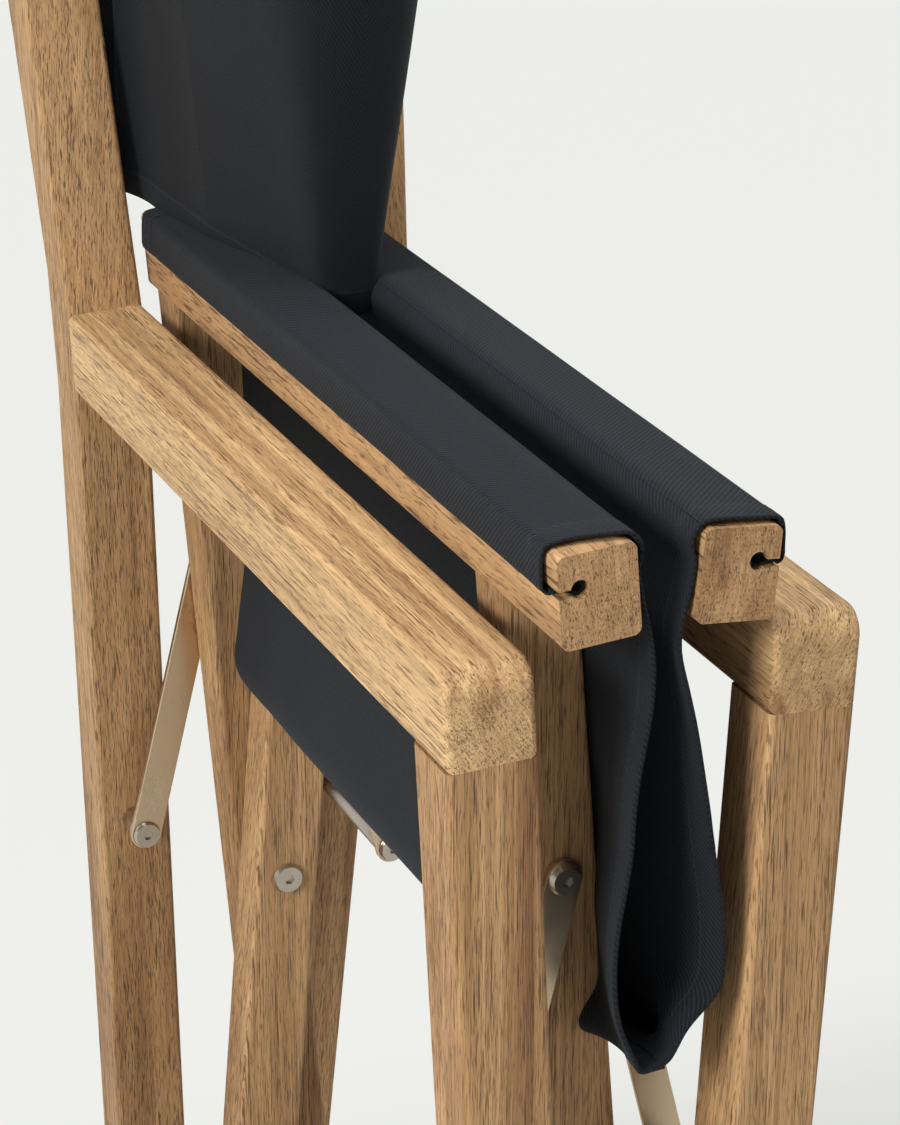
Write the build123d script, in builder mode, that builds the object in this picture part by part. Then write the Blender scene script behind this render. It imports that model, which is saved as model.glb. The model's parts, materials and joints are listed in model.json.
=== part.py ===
"""Folding director chair, stored folded: two side frames, two crossed seat frames, four steel links and a
hung seat and back of cloth. Millimetres. Front faces -Y, +Z up, origin on the floor at the middle."""

import math
import os

from build123d import *

os.makedirs("parts", exist_ok=True)

# ---- driving dimensions -------------------------------------------------
TAU = 3.05  # lean of each side frame when folded, degrees
OPEN_TURN = 44.5  # how far each crossed frame turns to open, degrees
ARM_TOP = 675.0  # top of the armrest above the floor, chair open
LEG_W = 35.0  # width of legs, posts and armrests
FL_D = 33.0  # front leg, depth
ARM_H = 37.0  # armrest, height
ARM_L = 438.5  # armrest, length
POST_D = 30.0  # rear post, depth
SPLAY = 6.58  # rear leg runs back below the armrest, degrees
RAKE = 11.0  # back post leans back above the armrest, degrees
POST_TOP = 900.0  # top of the back post
ARM_X = 64.7  # middle of the armrest from the centre plane, folded
PIVOT_DROP = 273.9  # cross pivot below the armrest top, folded
BAR_V = 34.0  # height of the lower pivots in the side frame
GLIDE_V = 14.0  # height of the glide's tilting pin
XLEG_W, XLEG_D = 30.6, 26.0  # crossed legs
RAIL_W, RAIL_H = 30.4, 35.4  # seat rails
RAIL_V = 299.5  # seat rail centre from the cross pivot, along the leg
RAIL_X = 2.0  # seat rail centre, outwards of the leg's line
LINK_U = 162.5  # link's upper pivot from the cross pivot, along the leg
LINK_S = 408.38200  # link's lower pivot above the floor, in the side frame
LINK_O = 1.0  # the same, outwards of the leg's middle
LINK_W, LINK_T = 15.0, 3.0
Y_RAIL0, Y_RAIL1 = -8.0, 449.0
Y_AF, Y_BF, Y_BR, Y_AR = 50.0, 86.0, 390.0, 418.3  # front faces of the crossed legs
Y0 = -266.585  # moves the whole chair so that its box is centred
CLOTH = 1.3
HEM0, HEM1 = 1.0, 441.0  # seat cloth, front and rear edge
BACK_V0, BACK_V1 = 728.0, 893.0  # back cloth, lower and upper edge

cosd = lambda d: math.cos(math.radians(d))
sind = lambda d: math.sin(math.radians(d))
tand = lambda d: math.tan(math.radians(d))

# ---- frames of the bodies, folded --------------------------------------
foot_x = ARM_X - (ARM_TOP - GLIDE_V) * sind(TAU)
arm_z = GLIDE_V + (ARM_TOP - GLIDE_V) * cosd(TAU)
PIV_Z = arm_z - PIVOT_DROP
bar_x = foot_x + (BAR_V - GLIDE_V) * sind(TAU)
bar_z = GLIDE_V + (BAR_V - GLIDE_V) * cosd(TAU)
ALPHA = math.degrees(math.atan2(bar_x, PIV_Z - bar_z))
BAR_U = math.hypot(bar_x, PIV_Z - bar_z)  # lower pivot from the cross pivot
O = (0.0, PIV_Z)
FEET = {-1: (-foot_x, GLIDE_V), 1: (foot_x, GLIDE_V)}
TILT = {-1: -TAU, 1: TAU}


def pt(o, a, x, y, v):
    return (o[0] + x * cosd(a) + v * sind(a), y + Y0, o[1] - x * sind(a) + v * cosd(a))


def pu(o, a, x, y, v):
    """plane across the leg: local x to the right, local y back"""
    return Plane(origin=pt(o, a, x, y, v), x_dir=(cosd(a), 0, -sind(a)), z_dir=(sind(a), 0, cosd(a)))


def pf(o, a, x, y, v):
    """plane facing the front: local x to the right, local y up; negative amounts go back"""
    return Plane(origin=pt(o, a, x, y, v), x_dir=(cosd(a), 0, -sind(a)), z_dir=(0, -1, 0))


def ps(o, a, x, y, v):
    """plane facing sideways: local x back, local y up; positive amounts go right"""
    return Plane(origin=pt(o, a, x, y, v), x_dir=(0, 1, 0), z_dir=(cosd(a), 0, -sind(a)))


def leg_front(v):
    """front face of the rear post"""
    if v > ARM_TOP:
        return ARM_L + (v - ARM_TOP) * tand(RAKE)
    if v < ARM_TOP - ARM_H:
        return ARM_L + (ARM_TOP - ARM_H - v) * tand(SPLAY)
    return ARM_L


def leg_back(v):
    low, high = ARM_TOP - ARM_H - 2.0, ARM_TOP + 14.0
    if v > high:
        return ARM_L + POST_D + (v - high) * tand(RAKE)
    if v < low:
        return ARM_L + POST_D + (low - v) * tand(SPLAY)
    return ARM_L + POST_D


FRONT_Y = FL_D / 2
REAR_FOOT = (leg_front(GLIDE_V) + leg_back(GLIDE_V)) / 2
LINKS_Y = {  # link's front face, by place
    ("left", "front"): Y_AF - 0.5 - LINK_T,
    ("left", "rear"): Y_AR + XLEG_D + 0.5,
    ("right", "front"): Y_BF - 0.5 - LINK_T,
    ("right", "rear"): Y_BR - 0.5 - LINK_T,
}
names = {-1: "left", 1: "right"}


def save(part, label):
    part.label = label
    export_step(part, f"parts/{label}.step")


# ======== side frames =====================================================
for side in (-1, 1):
    o, a, n = FEET[side], TILT[side], names[side]
    g = lambda v: v - GLIDE_V
    sx = side * LINK_O

    # front leg
    with BuildPart() as front_leg:
        with BuildSketch(pu(o, a, 0, FRONT_Y, g(6.0))):
            RectangleRounded(LEG_W, FL_D, 3.0)
        extrude(amount=ARM_TOP - ARM_H - 6.0)
        # holes for the two dowels under the armrest
        with BuildSketch(pu(o, a, 0, FRONT_Y, g(ARM_TOP - ARM_H - 22))):
            with Locations((-8, 0), (8, 0)):
                Circle(4.0)
        extrude(amount=22, mode=Mode.SUBTRACT)
        # bar pin hole and link bolt hole
        with BuildSketch(pf(o, a, 0, FL_D, g(BAR_V))):
            Circle(4.05)
        extrude(amount=22, mode=Mode.SUBTRACT)
        with BuildSketch(pf(o, a, sx, FL_D, g(LINK_S))):
            Circle(3.0)
        extrude(amount=22, mode=Mode.SUBTRACT)
        # slot for the glide's tongue
        with BuildSketch(pf(o, a, 0, FRONT_Y + 5.2, g(0))):
            with Locations((0, 12.5)):
                Rectangle(17, 17)
        extrude(amount=10.4, mode=Mode.SUBTRACT)
        with BuildSketch(pf(o, a, 0, FRONT_Y + 12, 0)):
            Circle(2.0)
        extrude(amount=24, mode=Mode.SUBTRACT)
    save(front_leg.part, f"front_leg_{n}")

    # armrest, its front upper corner rounded
    with BuildPart() as armrest:
        with BuildSketch(ps(o, a, -LEG_W / 2, 0, g(0))):
            with BuildLine():
                Polyline((0, ARM_TOP - ARM_H), (ARM_L, ARM_TOP - ARM_H), (ARM_L, ARM_TOP), (0, ARM_TOP), close=True)
            make_face()
            fillet([c for c in vertices() if abs(c.X) < 1 and abs(c.Y - ARM_TOP) < 1], 11.0)
        extrude(amount=LEG_W)
        fillet(edges().filter_by(lambda e: e.length > 380), 3.0)
        with BuildSketch(pu(o, a, 0, FRONT_Y, g(ARM_TOP - ARM_H))):
            with Locations((-8, 0), (8, 0)):
                Circle(4.0)
        extrude(amount=22, mode=Mode.SUBTRACT)
        with BuildSketch(pf(o, a, 0, ARM_L, g(ARM_TOP - ARM_H / 2))):
            with Locations((-8, 0), (8, 0)):
                Circle(4.0)
        extrude(amount=22, mode=Mode.SUBTRACT)
    save(armrest.part, f"armrest_{n}")

    # rear post, bent at the armrest, with the back cloth's keyhole slot in its rear face
    with BuildPart() as rear_post:
        with BuildSketch(ps(o, a, -LEG_W / 2, 0, g(0))):
            with BuildLine():
                Polyline(
                    (leg_front(6.0), 6.0),
                    (ARM_L, ARM_TOP - ARM_H),
                    (ARM_L, ARM_TOP),
                    (leg_front(POST_TOP), POST_TOP),
                    (leg_back(POST_TOP), POST_TOP),
                    (ARM_L + POST_D, ARM_TOP + 14.0),
                    (ARM_L + POST_D, ARM_TOP - ARM_H - 2.0),
                    (leg_back(6.0), 6.0),
                    close=True,
                )
            make_face()
        extrude(amount=LEG_W)
        fillet(edges().filter_by(lambda e: abs((e @ 0).Z - (e @ 1).Z) > 30), 2.5)
        with BuildSketch(pf(o, a, 0, ARM_L, g(ARM_TOP - ARM_H / 2))):
            with Locations((-8, 0), (8, 0)):
                Circle(4.0)
        extrude(amount=-22, mode=Mode.SUBTRACT)
        # bar pin hole: follows the bar's axis into the splayed leg
        with BuildSketch(pf(o, a, 0, leg_front(BAR_V) - 6, g(BAR_V))):
            Circle(4.05)
        extrude(amount=-28, mode=Mode.SUBTRACT)
        with BuildSketch(pf(o, a, sx, leg_front(LINK_S) - 6, g(LINK_S))):
            Circle(3.0)
        extrude(amount=-26, mode=Mode.SUBTRACT)
        with BuildSketch(pf(o, a, 0, REAR_FOOT - 5.2, g(0))):
            with Locations((0, 12.5)):
                Rectangle(17, 17)
        extrude(amount=-10.4, mode=Mode.SUBTRACT)
        with BuildSketch(pf(o, a, 0, REAR_FOOT - 12, 0)):
            Circle(2.0)
        extrude(amount=-24, mode=Mode.SUBTRACT)
        # keyhole slot, along the leaning part
        up = Vector(sind(a) * cosd(RAKE), sind(RAKE), cosd(a) * cosd(RAKE))
        right = Vector(cosd(a), 0, -sind(a))
        start = pt(o, a, -side * 7.5, leg_back(726.0) - 9.5 / cosd(RAKE), g(726.0))
        with BuildSketch(Plane(origin=start, x_dir=right, z_dir=up)):
            Circle(3.4)
            with Locations((0, 6)):
                Rectangle(2.8, 12)
        extrude(amount=200, mode=Mode.SUBTRACT)
    save(rear_post.part, f"rear_post_{n}")

    # dowels: two under the armrest's front, two into the post
    with BuildPart() as dowels:
        with BuildSketch(pu(o, a, 0, FRONT_Y, g(ARM_TOP - ARM_H - 20))):
            with Locations((-8, 0), (8, 0)):
                Circle(3.98)
        extrude(amount=40)
        with BuildSketch(pf(o, a, 0, ARM_L - 20, g(ARM_TOP - ARM_H / 2))):
            with Locations((-8, 0), (8, 0)):
                Circle(3.98)
        extrude(amount=-40)
    save(dowels.part, f"arm_dowels_{n}")

    # glides: a pad on the floor and a tongue that tilts on a pin
    with BuildPart() as glides:
        for yc in (FRONT_Y, REAR_FOOT):
            with BuildSketch(Plane(origin=(o[0], yc + Y0, 0), x_dir=(1, 0, 0), z_dir=(0, 0, 1))):
                RectangleRounded(24, 22, 5)
            extrude(amount=3.5)
            with BuildSketch(Plane(origin=(o[0], yc - 4.5 + Y0, 0), x_dir=(1, 0, 0), z_dir=(0, -1, 0))):
                with Locations((0, 8)):
                    Rectangle(10, 11)
                with Locations((0, GLIDE_V)):
                    Circle(5)
                with Locations((0, GLIDE_V)):
                    Circle(2.05, mode=Mode.SUBTRACT)
            extrude(amount=-9.0)
        chamfer(edges().group_by(Axis.Z)[0], 0.6)
    save(glides.part, f"glides_{n}")

    with BuildPart() as glide_pins:
        for yc in (FRONT_Y, REAR_FOOT):
            with BuildSketch(pf(o, a, 0, yc - 11.5, 0)):
                Circle(1.98)
            extrude(amount=-23)
    save(glide_pins.part, f"glide_pins_{n}")

    # standoffs between the legs and the two links on this frame
    y_f, y_r = LINKS_Y[(n, "front")], LINKS_Y[(n, "rear")]
    slope_y = leg_front(LINK_S)
    with BuildPart() as standoffs:
        with BuildSketch(pf(o, a, sx, FL_D, g(LINK_S))):
            Circle(6.0)
            Circle(3.0, mode=Mode.SUBTRACT)
        extrude(amount=-(y_f - 0.3 - FL_D))
        with BuildSketch(pf(o, a, sx, y_r + LINK_T + 0.3, g(LINK_S))):
            Circle(6.0)
            Circle(3.0, mode=Mode.SUBTRACT)
        extrude(amount=-(slope_y + 0.9 - y_r - LINK_T - 0.3))
        # rear end cut to the leg's slope
        with BuildSketch(ps(o, a, -20, 0, g(0))):
            with BuildLine():
                Polyline(
                    (leg_front(LINK_S - 20), LINK_S - 20),
                    (leg_front(LINK_S + 20), LINK_S + 20),
                    (leg_front(LINK_S + 20) + 20, LINK_S + 20),
                    (leg_front(LINK_S - 20) + 20, LINK_S - 20),
                    close=True,
                )
            make_face()
        extrude(amount=40, mode=Mode.SUBTRACT)
    save(standoffs.part, f"standoffs_{n}")

    # cap-head bolts: head on the link's far side from the leg
    with BuildPart() as bolts:
        for y_head, grow, y_tip in (
            (y_f + LINK_T + 0.3, -1, FL_D - 20),
            (y_r - 0.3, 1, slope_y + 20),
        ):
            with BuildSketch(pf(o, a, sx, y_tip, g(LINK_S))):
                Circle(2.98)
            extrude(amount=-(y_head - y_tip))
            with BuildSketch(pf(o, a, sx, y_head, g(LINK_S))):
                Circle(6.5)
            extrude(amount=grow * 2.0, taper=22)
            with BuildSketch(pf(o, a, sx, y_head - grow * 2.0, g(LINK_S))):
                RegularPolygon(2.3, 6)
            extrude(amount=-grow * 1.4, mode=Mode.SUBTRACT)
    save(bolts.part, f"link_bolts_{n}")

    # rod in the post's slot
    with BuildPart() as back_rod:
        start = pt(o, a, -side * 7.5, leg_back(BACK_V0) - 9.5 / cosd(RAKE), g(BACK_V0))
        with BuildSketch(Plane(origin=start, x_dir=right, z_dir=up)):
            Circle(1.9)
        extrude(amount=(BACK_V1 - BACK_V0) / cosd(RAKE) - 2)
    save(back_rod.part, f"back_rod_{n}")

    # back cloth round the rod, out of the slot and to the post's inner rear corner
    with BuildPart() as back_wrap:
        with BuildSketch(Plane(origin=start, x_dir=right, z_dir=up)):
            Circle(1.95 + CLOTH)
            Circle(1.95, mode=Mode.SUBTRACT)
            with Locations((0, (1.95 + 9.7 + CLOTH) / 2)):
                Rectangle(CLOTH, 9.7 + CLOTH - 1.95)
            with Locations((-side * 6.2, 9.7 + CLOTH / 2)):
                Rectangle(12.4 + CLOTH, CLOTH)
        extrude(amount=(BACK_V1 - BACK_V0) / cosd(RAKE))
    save(back_wrap.part, f"back_wrap_{n}")

# ======== crossed seat frames ============================================
# frame a carries the left rail and runs down to the right; frame b is its mirror image
for tag, sgn, y_f, y_r in (("a", -1, Y_AF, Y_AR), ("b", 1, Y_BF, Y_BR)):
    a = sgn * ALPHA
    rail_side = "left" if sgn < 0 else "right"
    foot_side = 1 if sgn < 0 else -1
    rail_low = RAIL_V - RAIL_H / 2

    for place, y in (("front", y_f), ("rear", y_r)):
        with BuildPart() as x_leg:
            with BuildSketch(pu(O, a, 0, y + XLEG_D / 2, -BAR_U + 17.5)):
                RectangleRounded(XLEG_W, XLEG_D, 2.5)
            extrude(amount=rail_low + BAR_U - 17.5)
            # cross pivot
            with BuildSketch(pf(O, a, 0, y, 0)):
                Circle(4.05 if tag == "a" else 4.0)
            extrude(amount=-XLEG_D, mode=Mode.SUBTRACT)
            # dowel holes to the rail and to the bar
            with BuildSketch(pu(O, a, 0, y + XLEG_D / 2, rail_low - 22)):
                with Locations((-7, 0), (7, 0)):
                    Circle(4.0)
            extrude(amount=22, mode=Mode.SUBTRACT)
            with BuildSketch(pu(O, a, 0, y + XLEG_D / 2, -BAR_U + 17.5)):
                with Locations((-7, 0), (7, 0)):
                    Circle(4.0)
            extrude(amount=22, mode=Mode.SUBTRACT)
        save(x_leg.part, f"x_leg_{place}_{tag}")

    # seat rail with its keyhole slot on the outer side
    rx = sgn * RAIL_X
    with BuildPart() as rail:
        with BuildSketch(pf(O, a, rx, Y_RAIL0, RAIL_V)):
            RectangleRounded(RAIL_W, RAIL_H, 3.2)
            with Locations((sgn * (RAIL_W / 2 - 8.2), RAIL_H / 2 - 13.2)):
                Circle(3.5, mode=Mode.SUBTRACT)
            with Locations((sgn * (RAIL_W / 2 - 3.6), RAIL_H / 2 - 14.2)):
                Rectangle(9.0, 3.0, mode=Mode.SUBTRACT)
        extrude(amount=-(Y_RAIL1 - Y_RAIL0))
        for y in (y_f, y_r):
            with BuildSketch(pu(O, a, 0, y + XLEG_D / 2, rail_low)):
                with Locations((-7 if sgn < 0 else 7, 0), (7 if sgn < 0 else -7, 0)):
                    Circle(4.0)
            extrude(amount=10, mode=Mode.SUBTRACT)
    save(rail.part, f"seat_rail_{rail_side}")

    # dowels, rail to legs and legs to bar
    with BuildPart() as x_dowels:
        for y in (y_f, y_r):
            with BuildSketch(pu(O, a, 0, y + XLEG_D / 2, rail_low - 20)):
                with Locations((-7, 0), (7, 0)):
                    Circle(3.98)
            extrude(amount=29)
            with BuildSketch(pu(O, a, 0, y + XLEG_D / 2, -BAR_U + 8.5)):
                with Locations((-7, 0), (7, 0)):
                    Circle(3.98)
            extrude(amount=29)
    save(x_dowels.part, f"frame_dowels_{tag}")

    # bottom bar: carries both legs and turns on pins in the side frame's legs
    bar_y0, bar_y1 = FL_D + 0.6, leg_front(BAR_V) - 2.6
    with BuildPart() as bar:
        with BuildSketch(pf(O, a, 0, bar_y0, -BAR_U)):
            RectangleRounded(31.0, 35.0, 3.0)
            Circle(4.0, mode=Mode.SUBTRACT)
        extrude(amount=-(bar_y1 - bar_y0))
        for y in (y_f, y_r):
            with BuildSketch(pu(O, a, 0, y + XLEG_D / 2, -BAR_U + 17.5)):
                with Locations((-7, 0), (7, 0)):
                    Circle(4.0)
            extrude(amount=-10.5, mode=Mode.SUBTRACT)
    save(bar.part, f"bottom_bar_{tag}")

    with BuildPart() as pins:
        with BuildSketch(pf(O, a, 0, FL_D - 18, -BAR_U)):
            Circle(3.98)
        extrude(amount=-(18 + 0.6 + 30))
        with BuildSketch(pf(O, a, 0, bar_y1 - 30, -BAR_U)):
            Circle(3.98)
        extrude(amount=-48)
    save(pins.part, f"bar_pins_{tag}")

    # rod and cloth on the rail
    rod_x, rod_v = rx + sgn * (RAIL_W / 2 - 8.2), RAIL_V + RAIL_H / 2 - 13.2
    with BuildPart() as seat_rod:
        with BuildSketch(pf(O, a, rod_x, HEM0, rod_v)):
            Circle(1.9)
        extrude(amount=-(HEM1 - HEM0))
    save(seat_rod.part, f"seat_rod_{rail_side}")

    with BuildPart() as seat_wrap:
        with BuildSketch(pf(O, a, rx, HEM0, RAIL_V)):
            RectangleRounded(RAIL_W + 0.3 + 2 * CLOTH, RAIL_H + 0.3 + 2 * CLOTH, 3.3 + CLOTH)
            RectangleRounded(RAIL_W + 0.3, RAIL_H + 0.3, 3.3, mode=Mode.SUBTRACT)
            # keeps the outer side above the slot's mouth, the top, and the top of the inner side
            with Locations((0, -RAIL_H / 2 - 10)):
                Rectangle(80, 46.0, mode=Mode.SUBTRACT)
            with Locations((-sgn * 30, -20)):
                Rectangle(40, 66, mode=Mode.SUBTRACT)
            with Locations((sgn * (RAIL_W / 2 - 8.2), RAIL_H / 2 - 13.2)):
                Circle(1.95 + CLOTH)
                Circle(1.95, mode=Mode.SUBTRACT)
            with Locations((sgn * (RAIL_W / 2 - 8.2 + (1.95 + 9.7) / 2), RAIL_H / 2 - 14.2)):
                Rectangle(9.75 - 1.95, CLOTH)
        extrude(amount=-(HEM1 - HEM0))
    save(seat_wrap.part, f"seat_wrap_{rail_side}")

# ======== cross pivots ====================================================
for place, y_head, y_end in (("front", Y_AF, Y_BF + XLEG_D), ("rear", Y_BR, Y_AR + XLEG_D)):
    with BuildPart() as pivot_bolt:
        with BuildSketch(pf(O, ALPHA, 0, y_head - 0.5, 0)):
            Circle(3.98)
        extrude(amount=-(y_end - y_head + 1.0))
        with BuildSketch(pf(O, ALPHA, 0, y_head - 0.5, 0)):
            Circle(7.4)
        extrude(amount=2.2, taper=25)
        with BuildSketch(pf(O, ALPHA, 0, y_head - 2.7, 0)):
            RegularPolygon(2.4, 6)
        extrude(amount=-1.7, mode=Mode.SUBTRACT)
    save(pivot_bolt.part, f"pivot_bolt_{place}")

with BuildPart() as pivot_nuts:
    for y_end in (Y_BF + XLEG_D, Y_AR + XLEG_D):
        with BuildSketch(pf(O, ALPHA, 0, y_end + 0.5, 0)):
            Circle(7.4)
        extrude(amount=-2.2, taper=25)
save(pivot_nuts.part, "pivot_nuts")

with BuildPart() as pivot_spacers:
    with BuildSketch(pf(O, ALPHA, 0, Y_AF + XLEG_D + 0.3, 0)):
        Circle(8.0)
        Circle(4.0, mode=Mode.SUBTRACT)
    extrude(amount=-(Y_BF - Y_AF - XLEG_D - 0.3))
    with BuildSketch(pf(O, ALPHA, 0, Y_BR + XLEG_D, 0)):
        Circle(9.0)
        Circle(4.0, mode=Mode.SUBTRACT)
    extrude(amount=-(Y_AR - Y_BR - XLEG_D - 0.3))
save(pivot_spacers.part, "pivot_spacers")

# ======== links ===========================================================
for side in (-1, 1):
    n = names[side]
    low = pt(FEET[side], TILT[side], side * LINK_O, 0, LINK_S - GLIDE_V)
    top = pt(O, side * ALPHA, 0, 0, LINK_U)
    length = math.hypot(top[0] - low[0], top[2] - low[2])
    ang = math.degrees(math.atan2(top[0] - low[0], top[2] - low[2]))
    base = (low[0], low[2])
    for place in ("front", "rear"):
        y = LINKS_Y[(n, place)]
        with BuildPart() as link:
            with BuildSketch(pf(base, ang, 0, y, length / 2)):
                SlotCenterToCenter(length, LINK_W, rotation=90)
                with Locations((0, -length / 2)):
                    Circle(3.05, mode=Mode.SUBTRACT)
                with Locations((0, length / 2)):
                    Circle(3.0, mode=Mode.SUBTRACT)
            extrude(amount=-LINK_T)
            chamfer(edges().group_by(Axis.Y)[0], 0.4)
            chamfer(edges().group_by(Axis.Y)[-1], 0.4)
        save(link.part, f"link_{place}_{n}")
        # upper bolt, its head on the face away from the leg
        rear_left = n == "left" and place == "rear"
        with BuildPart() as cap:
            if rear_left:
                y_head, grow, y_in = y + LINK_T, -1, y + 0.1
            else:
                y_head, grow, y_in = y, 1, y + LINK_T - 0.1
            with BuildSketch(pf(base, ang, 0, min(y_head, y_in), length)):
                Circle(2.98)
            extrude(amount=-abs(y_in - y_head))
            with BuildSketch(pf(base, ang, 0, y_head, length)):
                Circle(6.5)
            extrude(amount=grow * 2.8, taper=20)
            with BuildSketch(pf(base, ang, 0, y_head - grow * 2.8, length)):
                RegularPolygon(2.3, 6)
            extrude(amount=-grow * 1.9, mode=Mode.SUBTRACT)
        save(cap.part, f"link_cap_{place}_{n}")

# ======== hung cloth ======================================================
# Each sheet is two halves that meet in the middle. A half is made of flat pieces, each on its own hinge:
# folded they hang as a pocket, open they lie in one line. The seat's pieces stop short of the crossed legs.
SEAT_X = RAIL_W / 2 - RAIL_X + 0.6  # seat cloth's hinge, in the seat frame
SEAT_V = RAIL_V + RAIL_H / 2 + 0.8
SEAT_BAND, SEAT_STRIP = 42.0, 8.0  # top piece; half the width of the pocket's bottom
BAND_ANG = 7.0  # top piece runs inwards, degrees
open_a = ALPHA + OPEN_TURN
seat_half = SEAT_V * sind(open_a) - SEAT_X * cosd(open_a)
seat_len = seat_half - SEAT_STRIP - SEAT_BAND
hinge_x = SEAT_V * sind(ALPHA) - SEAT_X * cosd(ALPHA)
hinge_z = PIV_Z + SEAT_V * cosd(ALPHA) + SEAT_X * sind(ALPHA)
band_x = hinge_x - SEAT_BAND * sind(BAND_ANG)
band_z = hinge_z - SEAT_BAND * cosd(BAND_ANG)
seat_ang = math.degrees(math.asin((SEAT_STRIP - band_x) / seat_len))
low_z = band_z - seat_len * cosd(seat_ang)
CLEAR = ((HEM0, 41.5), (117.0, 382.0))  # lengths free of the crossed legs
for side in (-1, 1):
    n = names[side]
    with BuildPart() as seat_band:
        with BuildSketch(pf((side * hinge_x, hinge_z), side * BAND_ANG, 0, HEM0, -SEAT_BAND / 2)):
            Rectangle(CLOTH, SEAT_BAND - 13)
        extrude(amount=-(HEM1 - HEM0))
    save(seat_band.part, f"seat_band_{n}")
    with BuildPart() as seat_panel:
        for y_a, y_b in CLEAR:
            with BuildSketch(pf((side * band_x, band_z), -side * seat_ang, 0, y_a, -seat_len / 2)):
                Rectangle(CLOTH, seat_len - 6)
            extrude(amount=-(y_b - y_a))
    save(seat_panel.part, f"seat_panel_{n}")
    with BuildPart() as seat_strip:
        for y_a, y_b in CLEAR:
            with BuildSketch(pf((side * SEAT_STRIP, low_z), 0, -side * SEAT_STRIP / 2, y_a, 0)):
                Rectangle(SEAT_STRIP - 3.0, CLOTH)
            extrude(amount=-(y_b - y_a))
    save(seat_strip.part, f"seat_strip_{n}")

BACK_O = LEG_W / 2 + 1.2  # hinge outside the post's inner rear corner
BACK_MID = (BACK_V0 + BACK_V1) / 2
back_h = (BACK_V1 - BACK_V0) / cosd(RAKE)
open_bar_x = BAR_U * sind(open_a)
back_half = open_bar_x - BACK_O
BACK_STRIP = 34.0
back_len = back_half - BACK_STRIP
BACK_LEAN = 12.0  # folded panel leans forward
BACK_DROP = 1.0  # folded panel runs slightly down to the front
for side in (-1, 1):
    n = names[side]
    m = pt(FEET[side], TILT[side], -side * BACK_O, leg_back(BACK_MID) + 0.8, BACK_MID - GLIDE_V)
    in_slope = math.degrees(math.asin((abs(m[0]) - BACK_STRIP) / back_len))
    f = Vector(-side * sind(in_slope), -cosd(in_slope) * cosd(BACK_DROP), -cosd(in_slope) * sind(BACK_DROP))
    u = Vector(0, -sind(BACK_LEAN), cosd(BACK_LEAN))
    u = (u - f * u.dot(f)).normalized()
    w = f.cross(u)
    c = Vector(*m) + f * (back_len / 2 + 16.5)
    with BuildPart() as back_panel:
        with BuildSketch(Plane(origin=c, x_dir=f, z_dir=w)):
            Rectangle(back_len - 35, back_h)
        extrude(amount=CLOTH / 2, both=True)
    save(back_panel.part, f"back_panel_{n}")
    e = Vector(*m) + f * back_len
    across = Vector(-side, 0, 0)
    w2 = across.cross(u).normalized()
    u2 = w2.cross(across).normalized()
    c = e + across * (BACK_STRIP / 2)
    with BuildPart() as back_strip:
        with BuildSketch(Plane(origin=c, x_dir=across, z_dir=w2)):
            Rectangle(BACK_STRIP - 2.5, back_h)
        extrude(amount=CLOTH / 2, both=True)
    save(back_strip.part, f"back_strip_{n}")
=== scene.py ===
import json
import math

import bpy
import numpy as np
from mathutils import Matrix, Vector

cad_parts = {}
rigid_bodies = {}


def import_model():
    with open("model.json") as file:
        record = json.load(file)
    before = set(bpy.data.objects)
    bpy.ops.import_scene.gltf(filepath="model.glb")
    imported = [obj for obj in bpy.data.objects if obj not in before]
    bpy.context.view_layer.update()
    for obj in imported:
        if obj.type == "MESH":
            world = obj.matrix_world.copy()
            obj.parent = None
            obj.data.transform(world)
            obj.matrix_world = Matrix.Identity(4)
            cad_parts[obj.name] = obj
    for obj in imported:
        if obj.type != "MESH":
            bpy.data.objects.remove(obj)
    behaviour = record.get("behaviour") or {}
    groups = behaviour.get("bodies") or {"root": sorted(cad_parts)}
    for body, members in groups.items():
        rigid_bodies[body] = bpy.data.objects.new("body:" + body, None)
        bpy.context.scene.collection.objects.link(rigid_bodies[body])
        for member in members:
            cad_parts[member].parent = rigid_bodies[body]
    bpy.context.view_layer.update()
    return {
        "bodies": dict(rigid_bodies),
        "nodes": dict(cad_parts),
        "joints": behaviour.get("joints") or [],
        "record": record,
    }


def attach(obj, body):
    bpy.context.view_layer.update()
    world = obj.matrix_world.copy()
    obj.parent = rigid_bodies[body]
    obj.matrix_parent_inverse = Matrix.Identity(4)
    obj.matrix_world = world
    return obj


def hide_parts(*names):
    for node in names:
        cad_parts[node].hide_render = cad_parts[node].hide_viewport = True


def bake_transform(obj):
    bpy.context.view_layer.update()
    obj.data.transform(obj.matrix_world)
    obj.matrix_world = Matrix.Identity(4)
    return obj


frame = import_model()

bodies, nodes, joints, record = frame["bodies"], frame["nodes"], frame["joints"], frame["record"]
scene = bpy.context.scene
MM = 0.001
cosd = lambda d: math.cos(math.radians(d))
sind = lambda d: math.sin(math.radians(d))
tand = lambda d: math.tan(math.radians(d))

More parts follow.
